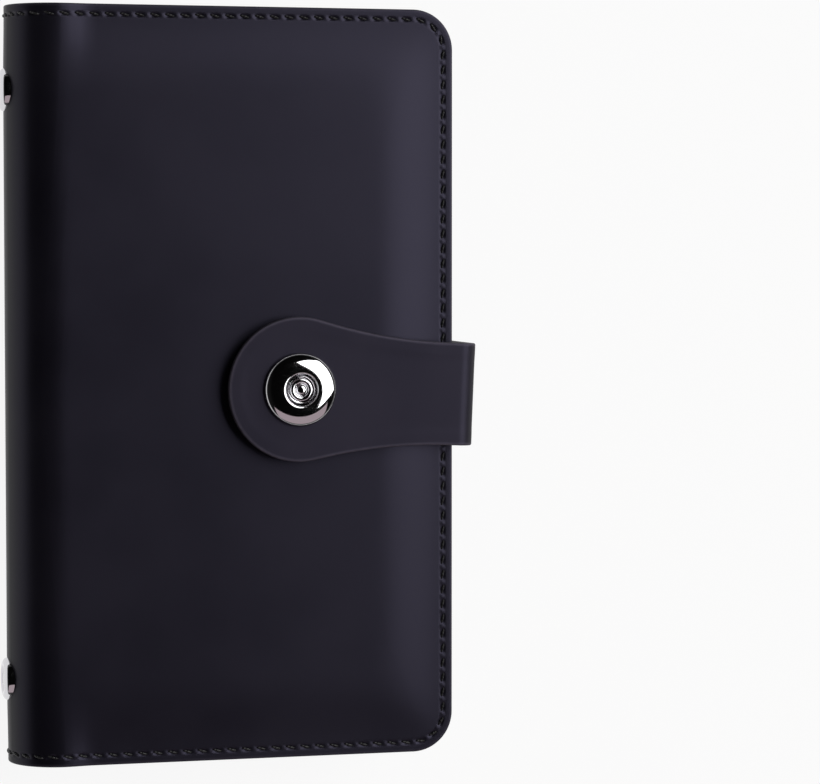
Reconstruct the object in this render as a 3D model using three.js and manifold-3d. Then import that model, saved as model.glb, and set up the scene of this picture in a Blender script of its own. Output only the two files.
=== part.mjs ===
// A banknote album that lies shut on its back: two padded covers and a half-round spine in faux leather,
// a block of clear pocket leaves riveted to the spine, and a strap that snaps shut on the front cover.
// Millimetres. +Z up, +Y to the album's top, spine towards -X, fore edge and strap towards +X.
import * as THREE from 'three';
import { mergeVertices } from 'three/addons/utils/BufferGeometryUtils.js';
import Module from 'manifold-3d';

// Covers and spine
const ALBUM_HEIGHT = 185;
const COVER_WIDTH = 97.6;      // flat part of a cover, from the spine's curve to the fore edge
const ALBUM_THICKNESS = 25;    // over both covers, which is also the spine's outer diameter
const CORNER_RADIUS = 10;
const LEATHER = 1.0;
const BOARD = 1.4;
const LINING = 0.6;
const LAYER_GAP = 0.1;         // air between glued layers, and between parts that lie on each other
const SPLIT_GAP = 0.2;         // between two lengths of one skin that meet at a hinge
const SEAM_DROP = 1.2;         // how far the stitched margin lies below the padded field
const SPINE_SEAM_DROP = 0.2;   // the same where the margin crosses the unpadded spine
const SEAM_FLAT = 3;           // width of the flat stitched margin
const SEAM_SLOPE = 4.5;        // width of the slope from the margin up to the padded field
const HEM_SLOPE = 3;           // width over which the turned-in hem thins out inside the margin
const BOARD_MARGIN = 8.2;      // from a cover's edge to the board inside it
const LINING_MARGIN = 1.2;     // from a cover's edge to the lining's edge
const SPINE_SLOPE = 7;         // over this width the cover thins down to the unpadded spine
const SPINE_PART_ANGLE = Math.PI / 4;  // each cover holds this much of the spine's half circle

// Pocket leaves
const PAGES_HEIGHT = 173;
const PAGES_FORE_MARGIN = 11;
const PAGES_CORNER = 5;
const PAGES_CLEARANCE = 0.3;
const PAGES_BOUND_THICKNESS = 10;      // where the leaves are gathered at the spine
const PAGES_FAN = 15;                  // over this width they spread to the full thickness
const PAGES_TONGUE_HEIGHT = 120;
const PAGES_TONGUE_THICKNESS = 8;

// Binding strip and its two rivets
const STRIP_HEIGHT = 150;
const STRIP_WIDTH = 10;
const STRIP_THICKNESS = 1.2;
const RIVET_SPACING = 144;
const RIVET_DIAMETER = 10.5;
const RIVET_DOME = 1.3;
const RIVET_SHANK_DIAMETER = 3.5;
const RIVET_CLEARANCE = 0.25;
const RIVET_END = 0.4;                 // of the shank, peened over beyond its washer
const WASHER_DIAMETER = 7;
const WASHER_THICKNESS = 0.8;

// Strap, which hangs a little askew
const STRAP_THICKNESS = 1.8;
const STRAP_WIDTH = 25.5;
const STRAP_SLANT = 2.4 * Math.PI / 180;
const STRAP_CENTRE_Y = -2.75;          // of the strap where it passes the fore edge
const STRAP_STAND_OFF = 5.1;           // from the fore edge to the strap's outer face
const STRAP_BEND_RADIUS = 4.4;         // outside
const STRAP_ROOT_LENGTH = 38;
const STRAP_ROOT_CORNER = 3;
const TAB_END_RADIUS = 17.8;
const TAB_FLARE_LENGTH = 38;           // from the middle of the round end to the straight neck

// Snap fastener
const SNAP_REACH = 40.1;               // from the fore edge to the snap's middle
const SNAP_LIFT = 2.3;                 // from the front cover up to the strap
const CAP_DIAMETER = 18;
const CAP_DOME = 2.4;
const CAP_CRATER_DIAMETER = 8;
const CAP_RIVET_DIAMETER = 5.6;
const POST_DIAMETER = 4;
const POST_CLEARANCE = 0.2;
const SOCKET_DIAMETER = 10;
const SOCKET_HEIGHT = 1.3;
const SOCKET_BORE_DIAMETER = 4.6;
const STUD_FLANGE_DIAMETER = 8;
const STUD_FLANGE_THICKNESS = 0.5;
const STUD_NUB_DIAMETER = 3.8;
const STUD_NUB_HEIGHT = 1.3;
const STUD_SHANK_DIAMETER = 2.6;
const STUD_CLEARANCE = 0.3;
const BACKING_DIAMETER = 8;
const BACKING_THICKNESS = 1.0;

// Fineness
const ARC_STEPS = 6;
const ROUND_STEPS = 32;
const CORNER_STEPS = 7;

// Levels and places worked out from the sizes above
const R = ALBUM_THICKNESS / 2;
const HALF_HEIGHT = ALBUM_HEIGHT / 2;
const BACK_Z = STRAP_THICKNESS + LAYER_GAP;
const MIDDLE_Z = BACK_Z + R;
const FRONT_Z = BACK_Z + ALBUM_THICKNESS;
const LINING_DEPTH = LEATHER + LAYER_GAP + BOARD + LAYER_GAP;
const SPINE_LINING_DEPTH = LEATHER + LAYER_GAP;
const COVER_DEPTH = LINING_DEPTH + LINING;
const FIELD_INSET = SEAM_FLAT + SEAM_SLOPE;
const TAB_Z = FRONT_Z + SNAP_LIFT;
const TAB_TOP = TAB_Z + STRAP_THICKNESS;
const BEND_X = STRAP_STAND_OFF - STRAP_BEND_RADIUS;

const materials = {
  leather: new THREE.MeshStandardMaterial({ color: '#201f26', roughness: 0.45 }),
  strap: new THREE.MeshStandardMaterial({ color: '#26242d', roughness: 0.5 }),
  lining: new THREE.MeshStandardMaterial({ color: '#232228', roughness: 0.7 }),
  board: new THREE.MeshStandardMaterial({ color: '#8f877a', roughness: 0.9 }),
  film: new THREE.MeshStandardMaterial({ color: '#c9ced2', roughness: 0.25 }),
  chrome: new THREE.MeshStandardMaterial({ color: '#d6d7da', roughness: 0.08, metalness: 1 }),
};

const wasm = await Module();
wasm.setup();

function smooth(low, high, x) {
  const t = Math.min(1, Math.max(0, (x - low) / (high - low)));
  return t * t * (3 - 2 * t);
}

function steps(low, high, count) {
  return Array.from({ length: count + 1 }, (_, i) => low + (high - low) * i / count);
}

// A closed solid between two grids of points, outer[i][j] and inner[i][j], joined along their four edges.
function slab(outer, inner) {
  const rows = outer.length;
  const columns = outer[0].length;
  const positions = [...outer.flat(2), ...inner.flat(2)];
  const at = (side, i, j) => side * rows * columns + i * columns + j;
  const index = [];
  const quad = (a, b, c, d) => index.push(a, b, c, a, c, d);
  for (let i = 0; i < rows - 1; i++) {
    for (let j = 0; j < columns - 1; j++) {
      quad(at(0, i, j), at(0, i, j + 1), at(0, i + 1, j + 1), at(0, i + 1, j));
      quad(at(1, i, j), at(1, i + 1, j), at(1, i + 1, j + 1), at(1, i, j + 1));
    }
  }
  for (let i = 0; i < rows - 1; i++) {
    quad(at(0, i, 0), at(0, i + 1, 0), at(1, i + 1, 0), at(1, i, 0));
    quad(at(0, i, columns - 1), at(1, i, columns - 1), at(1, i + 1, columns - 1), at(0, i + 1, columns - 1));
  }
  for (let j = 0; j < columns - 1; j++) {
    quad(at(0, 0, j), at(1, 0, j), at(1, 0, j + 1), at(0, 0, j + 1));
    quad(at(0, rows - 1, j), at(0, rows - 1, j + 1), at(1, rows - 1, j + 1), at(1, rows - 1, j));
  }
  return outward(positions, index);
}

// The geometry of these triangles, turned inside out if they enclose a negative volume.
function outward(positions, index) {
  const p = (i) => new THREE.Vector3(positions[3 * i], positions[3 * i + 1], positions[3 * i + 2]);
  let volume = 0;
  for (let k = 0; k < index.length; k += 3) {
    volume += p(index[k]).dot(p(index[k + 1]).cross(p(index[k + 2])));
  }
  if (volume < 0) {
    for (let k = 0; k < index.length; k += 3) {
      [index[k], index[k + 1]] = [index[k + 1], index[k]];
    }
  }
  const geometry = new THREE.BufferGeometry();
  geometry.setAttribute('position', new THREE.Float32BufferAttribute(positions, 3));
  geometry.setIndex(index);
  return geometry;
}

function solid(geometry) {
  const bare = geometry.clone();
  bare.deleteAttribute('normal');
  bare.deleteAttribute('uv');
  const merged = mergeVertices(bare, 1e-4);
  return new wasm.Manifold(new wasm.Mesh({
    numProp: 3,
    vertProperties: new Float32Array(merged.attributes.position.array),
    triVerts: new Uint32Array(merged.index.array),
  }));
}

function geometryOf(manifold) {
  const mesh = manifold.getMesh();
  const geometry = new THREE.BufferGeometry();
  geometry.setAttribute('position', new THREE.Float32BufferAttribute(Array.from(mesh.vertProperties), 3));
  geometry.setIndex(Array.from(mesh.triVerts));
  return geometry;
}

// A point on the cover's section: s runs along the outer face from the spine's curve (s < 0) to the fore edge,
// and depth goes inwards. The front cover is the back one mirrored in the album's middle plane.
function sectionPoint(s, y, depth, front) {
  const angle = Math.max(0, -s / R);
  const x = s < 0 ? -(R - depth) * Math.sin(angle) : s;
  const z = s < 0 ? R - (R - depth) * Math.cos(angle) : depth;
  return [x, y, front ? FRONT_Z - z : BACK_Z + z];
}

// Distance from a point of the cover to the cover's outline, which is round at the two fore edge corners.
function edgeDistance(s, y) {
  const dx = COVER_WIDTH - s;
  const dy = HALF_HEIGHT - Math.abs(y);
  if (dx < CORNER_RADIUS && dy < CORNER_RADIUS) {
    return CORNER_RADIUS - Math.hypot(CORNER_RADIUS - dx, CORNER_RADIUS - dy);
  }
  return Math.min(dx, dy);
}

// Half the height of an outline with round fore edge corners, a margin inside the cover's outline.
function halfHeight(s, margin) {
  const radius = Math.max(CORNER_RADIUS - margin, 0.5);
  const past = Math.max(0, s - (COVER_WIDTH - margin - radius));
  return HALF_HEIGHT - margin - (radius - Math.sqrt(Math.max(0, radius * radius - past * past)));
}

function coverColumns(from, margin) {
  const radius = Math.max(CORNER_RADIUS - margin, 0.5);
  const last = COVER_WIDTH - margin;
  const corner = steps(0, Math.PI / 2, CORNER_STEPS).map((a) => last - radius + radius * Math.sin(a));
  const seam = steps(SEAM_FLAT, FIELD_INSET, 3).map((d) => COVER_WIDTH - d);
  const arc = from < 0 ? steps(from, 0, ARC_STEPS) : [from];
  const start = arc[arc.length - 1];
  const slope = steps(0, SPINE_SLOPE, 4).filter((s) => s > start);
  const field = [COVER_WIDTH * 0.4, COVER_WIDTH * 0.75];
  const sorted = [...arc, ...slope, ...field, ...corner, ...seam].filter((s) => s <= last);
  sorted.sort((a, b) => a - b);
  return sorted.filter((s, i) => i === 0 || s - sorted[i - 1] > 0.05);
}

function coverRows(half) {
  const slope = steps(SEAM_FLAT, FIELD_INSET, 3);
  const insets = [0, ...slope, Math.max(CORNER_RADIUS, FIELD_INSET + 1)];
  const upper = [...insets.map((d) => half - d), half * 0.45];
  return [...upper.map((y) => -y), 0, ...upper.reverse()];
}

function seamDrop(s, y) {
  const deepest = SPINE_SEAM_DROP + (SEAM_DROP - SPINE_SEAM_DROP) * smooth(0, SPINE_SLOPE, s);
  return deepest * (1 - smooth(SEAM_FLAT, FIELD_INSET, edgeDistance(s, y)));
}

// Depth of the leather's inner face, which is deeper in the margin, where the hem is turned in.
function leatherBack(s, y) {
  const hem = 1 - smooth(FIELD_INSET - HEM_SLOPE, FIELD_INSET - HEM_SLOPE / 3, edgeDistance(s, y));
  return LEATHER + BOARD * hem * smooth(0, SPINE_SLOPE + 1, s);
}

function liningFace(s) {
  return SPINE_LINING_DEPTH + (LINING_DEPTH - SPINE_LINING_DEPTH) * smooth(0, SPINE_SLOPE - 1, s);
}

function leatherSkin(columns, front) {
  const grid = (depth) => columns.map((s) => coverRows(halfHeight(s, 0))
    .map((y) => sectionPoint(s, y, depth(s, y), front)));
  return slab(grid(seamDrop), grid(leatherBack));
}

function liningSkin(columns, front) {
  const grid = (extra) => columns.map((s) => {
    const half = halfHeight(s, LINING_MARGIN);
    return [-half, half].map((y) => sectionPoint(s, y, liningFace(s) + extra, front));
  });
  return slab(grid(0), grid(LINING));
}

function coverLeather(front) {
  return leatherSkin(coverColumns(-R * SPINE_PART_ANGLE, 0), front);
}

function coverLining(front) {
  return liningSkin(coverColumns(-R * SPINE_PART_ANGLE, LINING_MARGIN), front);
}

function coverBoard(front) {
  const columns = coverColumns(BOARD_MARGIN, BOARD_MARGIN);
  const grid = (depth) => columns.map((s) => {
    const half = halfHeight(s, BOARD_MARGIN);
    return [-half, half].map((y) => sectionPoint(s, y, depth, front));
  });
  return slab(grid(LEATHER + LAYER_GAP), grid(LEATHER + LAYER_GAP + BOARD));
}

// The middle of the spine, from where the back cover's share of the half circle ends to where the front's begins.
function spineColumns() {
  const gap = SPLIT_GAP / R;
  return steps(-R * (Math.PI - SPINE_PART_ANGLE - gap), -R * (SPINE_PART_ANGLE + gap), 2 * ARC_STEPS);
}

function cylinder(diameter, from, to) {
  const geometry = new THREE.CylinderGeometry(diameter / 2, diameter / 2, to - from, ROUND_STEPS);
  geometry.rotateX(Math.PI / 2);
  geometry.translate(0, 0, (from + to) / 2);
  return geometry;
}

// A turned part: the profile's points are [radius, height] along +Z.
function turned(profile) {
  const geometry = new THREE.LatheGeometry(profile.map(([r, h]) => new THREE.Vector2(r, h)), ROUND_STEPS);
  geometry.rotateX(Math.PI / 2);
  return geometry;
}

function ring(outerDiameter, innerDiameter, from, to) {
  const outer = outerDiameter / 2;
  const inner = innerDiameter / 2;
  return turned([[inner, from], [outer, from], [outer, to], [inner, to], [inner, from]]);
}

// Turns a part made along +Z so that it points out of the spine, towards -X, at height y.
function onSpine(geometry, y) {
  geometry.rotateY(-Math.PI / 2);
  geometry.translate(0, y, MIDDLE_Z);
  return geometry;
}

const RIVET_PLACES = [['top', RIVET_SPACING / 2], ['bottom', -RIVET_SPACING / 2]];
const RIVET_HOLE = RIVET_SHANK_DIAMETER + 2 * RIVET_CLEARANCE;
const STRIP_OUTER = Math.sqrt((R - SPINE_LINING_DEPTH - LINING) ** 2 - (STRIP_WIDTH / 2) ** 2) - LAYER_GAP;
const STRIP_INNER = STRIP_OUTER - STRIP_THICKNESS;
const WASHER_INNER = STRIP_INNER - LAYER_GAP - WASHER_THICKNESS;
const SHANK_INNER = WASHER_INNER - RIVET_END;

function withRivetHoles(geometry) {
  let body = solid(geometry);
  for (const [, y] of RIVET_PLACES) {
    body = body.subtract(solid(onSpine(cylinder(RIVET_HOLE, SHANK_INNER, ALBUM_THICKNESS), y)));
  }
  return geometryOf(body);
}

function bindingStrip() {
  const geometry = new THREE.BoxGeometry(STRIP_THICKNESS, STRIP_HEIGHT, STRIP_WIDTH);
  geometry.translate(-(STRIP_OUTER + STRIP_INNER) / 2, 0, MIDDLE_Z);
  return withRivetHoles(geometry);
}

// A ring-shaped dome with a round button in its middle, saddled onto the spine's curve, and its shank.
function spineRivet(y) {
  const r = RIVET_DIAMETER / 2;
  const seat = R + LAYER_GAP;
  const saddle = R - Math.sqrt(R * R - r * r);
  const dome = turned([
    [0, seat - saddle], [r - 0.2, seat - saddle], [r, seat - saddle + 0.2], [r, seat + 0.15],
    [r * 0.92, seat + RIVET_DOME * 0.62], [r * 0.76, seat + RIVET_DOME], [r * 0.62, seat + RIVET_DOME * 0.86],
    [r * 0.5, seat + RIVET_DOME * 0.35], [r * 0.38, seat + RIVET_DOME * 0.35],
    [r * 0.28, seat + RIVET_DOME * 0.72], [r * 0.14, seat + RIVET_DOME * 0.86], [0, seat + RIVET_DOME * 0.9],
  ]);
  const spineBody = new THREE.CylinderGeometry(seat, seat, ALBUM_HEIGHT, 2 * ROUND_STEPS);
  spineBody.translate(0, 0, MIDDLE_Z);
  const cap = solid(onSpine(dome, y)).subtract(solid(spineBody));
  const shank = solid(onSpine(cylinder(RIVET_SHANK_DIAMETER, SHANK_INNER, seat + RIVET_DOME * 0.2), y));
  return geometryOf(cap.add(shank));
}

function spineWasher(y) {
  return onSpine(ring(WASHER_DIAMETER, RIVET_HOLE, WASHER_INNER, WASHER_INNER + WASHER_THICKNESS), y);
}

// The leaves as one block: gathered at the spine, full thickness between the covers, round fore edge corners.
function pagesBlock() {
  const start = -SHANK_INNER + PAGES_CLEARANCE;
  const end = COVER_WIDTH - PAGES_FORE_MARGIN;
  const half = PAGES_HEIGHT / 2;
  const full = R - COVER_DEPTH - PAGES_CLEARANCE;
  const bound = PAGES_BOUND_THICKNESS / 2;
  const corner = steps(0, Math.PI / 2, CORNER_STEPS).map((a) => end - PAGES_CORNER + PAGES_CORNER * Math.sin(a));
  const columns = [...steps(start, start + PAGES_FAN, 6), ...corner];
  const heightAt = (x) => {
    const past = Math.max(0, x - (end - PAGES_CORNER));
    return half - PAGES_CORNER + Math.sqrt(Math.max(0, PAGES_CORNER ** 2 - past ** 2));
  };
  const thickness = (x) => bound + (full - bound) * smooth(start - PAGES_FAN / 3, start + PAGES_FAN, x);
  const grid = (side) => columns.map((x) => [-heightAt(x), heightAt(x)]
    .map((y) => [x, y, MIDDLE_Z + side * thickness(x)]));
  const tongueStart = -STRIP_INNER + PAGES_CLEARANCE;
  const overlap = 1;
  const tongue = new THREE.BoxGeometry(start + overlap - tongueStart, PAGES_TONGUE_HEIGHT, PAGES_TONGUE_THICKNESS);
  tongue.translate((start + overlap + tongueStart) / 2, 0, MIDDLE_Z);
  return geometryOf(solid(slab(grid(1), grid(-1))).add(solid(tongue)));
}

// The strap's parts are made with x = 0 at the fore edge, towards -X over the cover, and y = 0 at its middle.
// A side view in x and z, extruded across the strap's width.
function acrossStrap(shape) {
  const geometry = new THREE.ExtrudeGeometry(shape, {
    depth: STRAP_WIDTH, bevelEnabled: false, curveSegments: ARC_STEPS,
  });
  geometry.rotateX(Math.PI / 2);
  geometry.translate(0, STRAP_WIDTH / 2, 0);
  return geometry;
}

const HALF_BEND = Math.PI / 4;
const BEND_INNER_RADIUS = STRAP_BEND_RADIUS - STRAP_THICKNESS;
const BEND_GAP = SPLIT_GAP / 2 / STRAP_BEND_RADIUS;

// A strip that runs flat along -X from the bend and takes the first half of the bend. side is 1 at the top.
function flatWithHalfBend(length, centreZ, side) {
  const stop = side * (HALF_BEND + BEND_GAP);
  const level = side * Math.PI / 2;
  const shape = new THREE.Shape();
  shape.moveTo(BEND_X - length, centreZ + side * BEND_INNER_RADIUS);
  shape.lineTo(BEND_X - length, centreZ + side * STRAP_BEND_RADIUS);
  shape.absarc(BEND_X, centreZ, STRAP_BEND_RADIUS, level, stop, side > 0);
  shape.absarc(BEND_X, centreZ, BEND_INNER_RADIUS, stop, level, side < 0);
  return acrossStrap(shape);
}

const LOWER_BEND_Z = STRAP_BEND_RADIUS;
const UPPER_BEND_Z = TAB_TOP - STRAP_BEND_RADIUS;

function strapRoot() {
  const strip = flatWithHalfBend(STRAP_ROOT_LENGTH, LOWER_BEND_Z, -1);
  const half = STRAP_WIDTH / 2;
  const corner = STRAP_ROOT_CORNER;
  const left = BEND_X - STRAP_ROOT_LENGTH;
  const right = BEND_X + STRAP_BEND_RADIUS + 1;
  const plan = new THREE.Shape();
  plan.moveTo(right, -half - 1);
  plan.lineTo(right, half + 1);
  plan.lineTo(left + corner, half + 1);
  plan.lineTo(left + corner, half);
  plan.absarc(left + corner, half - corner, corner, Math.PI / 2, Math.PI, false);
  plan.absarc(left + corner, corner - half, corner, Math.PI, 1.5 * Math.PI, false);
  plan.lineTo(left + corner, -half - 1);
  const outline = new THREE.ExtrudeGeometry(plan, {
    depth: STRAP_BEND_RADIUS + 2, bevelEnabled: false, curveSegments: ARC_STEPS,
  });
  outline.translate(0, 0, -1);
  return geometryOf(solid(strip).intersect(solid(outline)));
}

function strapRiser() {
  const start = HALF_BEND - BEND_GAP;
  const shape = new THREE.Shape();
  shape.absarc(BEND_X, LOWER_BEND_Z, STRAP_BEND_RADIUS, -start, 0, false);
  shape.absarc(BEND_X, UPPER_BEND_Z, STRAP_BEND_RADIUS, 0, start, false);
  shape.absarc(BEND_X, UPPER_BEND_Z, BEND_INNER_RADIUS, start, 0, true);
  shape.absarc(BEND_X, LOWER_BEND_Z, BEND_INNER_RADIUS, 0, -start, true);
  return acrossStrap(shape);
}

// The strap's outline from above: a round end, two hollow flares tangent to it, and a straight neck.
function strapTab() {
  const neck = STRAP_WIDTH / 2;
  const end = TAB_END_RADIUS;
  const flare = TAB_FLARE_LENGTH;
  const flareRadius = (flare * flare / (end - neck) - (end + neck)) / 2;
  const turn = Math.atan2(neck + flareRadius, flare);
  const middle = -SNAP_REACH;
  const overlap = 0.5;
  const shape = new THREE.Shape();
  shape.absarc(middle, 0, end, turn, -turn, false);
  shape.absarc(middle + flare, -(neck + flareRadius), flareRadius, Math.PI - turn, Math.PI / 2, true);
  shape.lineTo(BEND_X, -neck);
  shape.lineTo(BEND_X, neck);
  shape.absarc(middle + flare, neck + flareRadius, flareRadius, 1.5 * Math.PI, Math.PI + turn, true);
  const plate = new THREE.ExtrudeGeometry(shape, {
    depth: STRAP_THICKNESS, bevelEnabled: false, curveSegments: 4 * ARC_STEPS,
  });
  plate.translate(0, 0, TAB_Z);
  const bend = flatWithHalfBend(overlap, UPPER_BEND_Z, 1);
  const hole = cylinder(POST_DIAMETER + 2 * POST_CLEARANCE, TAB_Z - 1, TAB_TOP + 1);
  hole.translate(middle, 0, 0);
  return geometryOf(solid(plate).add(solid(bend)).subtract(solid(hole)));
}

// The snap's parts are turned about the snap's own axis, at their true heights.
function snapCap() {
  const z = TAB_TOP + LAYER_GAP;
  const r = CAP_DIAMETER / 2;
  const crater = CAP_CRATER_DIAMETER / 2;
  const bore = POST_DIAMETER / 2 + POST_CLEARANCE;
  const lip = crater + 0.7;
  const shoulder = steps(0, Math.PI / 2, 6).map((a) => [
    lip + (r - lip) * Math.cos(a),
    z + 0.5 + (CAP_DOME - 0.5) * Math.sin(a),
  ]);
  return turned([
    [bore, z], [r - 0.3, z], [r, z + 0.2], ...shoulder,
    [crater + 0.2, z + CAP_DOME - 0.25], [crater - 0.3, z + CAP_DOME * 0.5], [crater - 0.6, z + CAP_DOME * 0.35],
    [bore, z + CAP_DOME * 0.3], [bore, z],
  ]);
}

// A tubular rivet with a rolled rim and a small dome in its middle. It holds cap, strap and socket together.
function snapRivet() {
  const floor = TAB_TOP + LAYER_GAP + CAP_DOME * 0.35 + 2 * LAYER_GAP;
  const rim = CAP_RIVET_DIAMETER / 2;
  const post = POST_DIAMETER / 2;
  return turned([
    [0, TAB_Z], [post, TAB_Z], [post, floor], [rim - 0.2, floor], [rim, floor + 0.25], [rim - 0.15, floor + 0.6],
    [rim - 0.55, floor + 0.75], [rim - 0.95, floor + 0.6], [rim - 1.15, floor + 0.2], [1.3, floor + 0.2],
    [1.05, floor + 0.5], [0.55, floor + 0.7], [0, floor + 0.75],
  ]);
}

function snapSocket() {
  const top = TAB_Z - LAYER_GAP;
  return ring(SOCKET_DIAMETER, SOCKET_BORE_DIAMETER, top - SOCKET_HEIGHT, top);
}

const STUD_BACK_Z = FRONT_Z - LEATHER - LAYER_GAP - BACKING_THICKNESS;

function snapStud() {
  const z = FRONT_Z + LAYER_GAP;
  const flange = STUD_FLANGE_DIAMETER / 2;
  const nub = STUD_NUB_DIAMETER / 2;
  const shank = STUD_SHANK_DIAMETER / 2;
  const top = z + STUD_FLANGE_THICKNESS + STUD_NUB_HEIGHT;
  return turned([
    [0, STUD_BACK_Z], [shank, STUD_BACK_Z], [shank, z], [flange, z], [flange, z + STUD_FLANGE_THICKNESS * 0.6],
    [flange - 0.4, z + STUD_FLANGE_THICKNESS], [nub - 0.2, z + STUD_FLANGE_THICKNESS],
    [nub, top - STUD_NUB_HEIGHT * 0.5], [nub - 0.3, top - 0.15], [nub * 0.5, top], [0, top],
  ]);
}

function snapBacking() {
  const bore = STUD_SHANK_DIAMETER + 2 * POST_CLEARANCE;
  return ring(BACKING_DIAMETER, bore, STUD_BACK_Z, STUD_BACK_Z + BACKING_THICKNESS);
}

// The snap's middle on the cover, which follows from the strap's slant.
const SNAP_X = COVER_WIDTH - SNAP_REACH * Math.cos(STRAP_SLANT);
const SNAP_Y = STRAP_CENTRE_Y + SNAP_REACH * Math.sin(STRAP_SLANT);

function withStudHole(geometry, diameter) {
  const hole = cylinder(diameter, FRONT_Z - ALBUM_THICKNESS / 2, FRONT_Z + 1);
  hole.translate(SNAP_X, SNAP_Y, 0);
  return geometryOf(solid(geometry).subtract(solid(hole)));
}

function piece(name, geometry, material) {
  const mesh = new THREE.Mesh(geometry, material);
  mesh.name = name;
  return mesh;
}

const backCover = new THREE.Group();
backCover.add(
  piece('back_cover_leather', coverLeather(false), materials.leather),
  piece('back_board', coverBoard(false), materials.board),
  piece('back_lining', coverLining(false), materials.lining),
  piece('pages', pagesBlock(), materials.film),
);

const spine = new THREE.Group();
spine.add(
  piece('spine_leather', withRivetHoles(leatherSkin(spineColumns(), false)), materials.leather),
  piece('spine_lining', withRivetHoles(liningSkin(spineColumns(), false)), materials.lining),
  piece('binding_strip', bindingStrip(), materials.board),
);
for (const [place, y] of RIVET_PLACES) {
  spine.add(piece(`spine_rivet_${place}`, spineRivet(y), materials.chrome));
  spine.add(piece(`spine_washer_${place}`, spineWasher(y), materials.chrome));
}

const STUD_HOLE = STUD_SHANK_DIAMETER + 2 * STUD_CLEARANCE;
const BACKING_HOLE = BACKING_DIAMETER + 2 * STUD_CLEARANCE;
const frontCover = new THREE.Group();
frontCover.add(
  piece('front_cover_leather', withStudHole(coverLeather(true), STUD_HOLE), materials.leather),
  piece('front_board', withStudHole(coverBoard(true), BACKING_HOLE), materials.board),
  piece('front_lining', coverLining(true), materials.lining),
);

const snapOnCover = new THREE.Group();
snapOnCover.position.set(SNAP_X, SNAP_Y, 0);
snapOnCover.add(
  piece('snap_stud', snapStud(), materials.chrome),
  piece('snap_stud_backing', snapBacking(), materials.chrome),
);
frontCover.add(snapOnCover);

const snapOnStrap = new THREE.Group();
snapOnStrap.position.set(-SNAP_REACH, 0, 0);
snapOnStrap.add(
  piece('snap_cap', snapCap(), materials.chrome),
  piece('snap_cap_rivet', snapRivet(), materials.chrome),
  piece('snap_socket', snapSocket(), materials.chrome),
);

const strap = new THREE.Group();
strap.position.set(COVER_WIDTH, STRAP_CENTRE_Y, 0);
strap.rotation.z = -STRAP_SLANT;
strap.add(
  piece('strap_root', strapRoot(), materials.strap),
  piece('strap_riser', strapRiser(), materials.strap),
  piece('strap_tab', strapTab(), materials.strap),
  snapOnStrap,
);

const album = new THREE.Group();
album.add(backCover, spine, frontCover, strap);

// The origin goes to the middle of the whole album's box, at the level that it lies on.
album.updateMatrixWorld(true);
const box = new THREE.Box3().setFromObject(album, true);
const middle = box.getCenter(new THREE.Vector3());
album.position.set(-middle.x, -middle.y, -box.min.z);

export default album;
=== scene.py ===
import math

import bpy
import numpy as np
from mathutils import Matrix, Vector


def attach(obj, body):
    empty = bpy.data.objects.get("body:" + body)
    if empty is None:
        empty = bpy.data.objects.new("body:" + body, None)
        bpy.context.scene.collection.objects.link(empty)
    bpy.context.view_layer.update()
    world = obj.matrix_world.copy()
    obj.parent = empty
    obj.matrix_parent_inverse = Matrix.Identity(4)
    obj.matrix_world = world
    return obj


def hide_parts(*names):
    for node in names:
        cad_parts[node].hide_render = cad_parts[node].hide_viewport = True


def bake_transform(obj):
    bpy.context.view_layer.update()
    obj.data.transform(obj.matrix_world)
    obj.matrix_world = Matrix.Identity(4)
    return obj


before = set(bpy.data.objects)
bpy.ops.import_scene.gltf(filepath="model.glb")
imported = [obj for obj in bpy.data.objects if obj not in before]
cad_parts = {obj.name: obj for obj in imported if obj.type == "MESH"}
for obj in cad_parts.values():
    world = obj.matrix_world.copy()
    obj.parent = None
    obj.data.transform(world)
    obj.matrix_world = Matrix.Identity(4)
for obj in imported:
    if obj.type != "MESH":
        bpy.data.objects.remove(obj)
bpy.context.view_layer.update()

# Sizes of the album in millimetres. They are the CAD source's own, but for the stitched margin, which
# is shallower here and slopes up more gently, and the spine rivets' dome, which is lower.
ALBUM_MIDDLE_X = -44.66472  # row frame's X of the line where a flat cover meets the spine's curve
SPINE_RADIUS = 12.5
HALF_HEIGHT = 92.5
COVER_WIDTH = 97.6
CORNER_RADIUS = 10.0
BACK_Z = 1.9
MIDDLE_Z = 14.4
FRONT_Z = 26.9
LEATHER = 1.0
BOARD = 1.4
LINING = 0.6
LINING_MARGIN = 1.2
SEAM_DROP = 1.0  # how far the stitched margin lies below the raised field
SPINE_SEAM_DROP = 0.2
PAD_SLOPE = (1.5, 19.0)  # where the slope up to the raised field starts and ends, from the edge
PAD_BLEND = 3.0  # how softly the slopes of two edges meet in a corner
HEM_SLOPE = (4.5, 6.5)  # where the turned-in hem thins out, from the edge
LINING_DEPTH = 1.1  # from the leather's face to the lining, on the spine
BOARD_STEP = 1.5  # how much deeper the lining lies over the board
MID_SPINE = -SPINE_RADIUS * math.pi / 2

STITCH_INSET = 2.5
STITCH_PITCH = 3.7
STITCH_LENGTH = 2.9
STITCH_SLANT = math.radians(-16)
STITCH_LIFT = 0.1  # how far a stitch's middle stands up
STITCH_SINK = 0.25  # how far its ends go down
THREAD_RADIUS = 0.3
THREAD_TWIST = 0.8  # length of one turn of its plies
CHANNEL_DEPTH = 0.12  # how far the row of stitches draws the skin in
CHANNEL_HALF = 0.9

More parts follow.
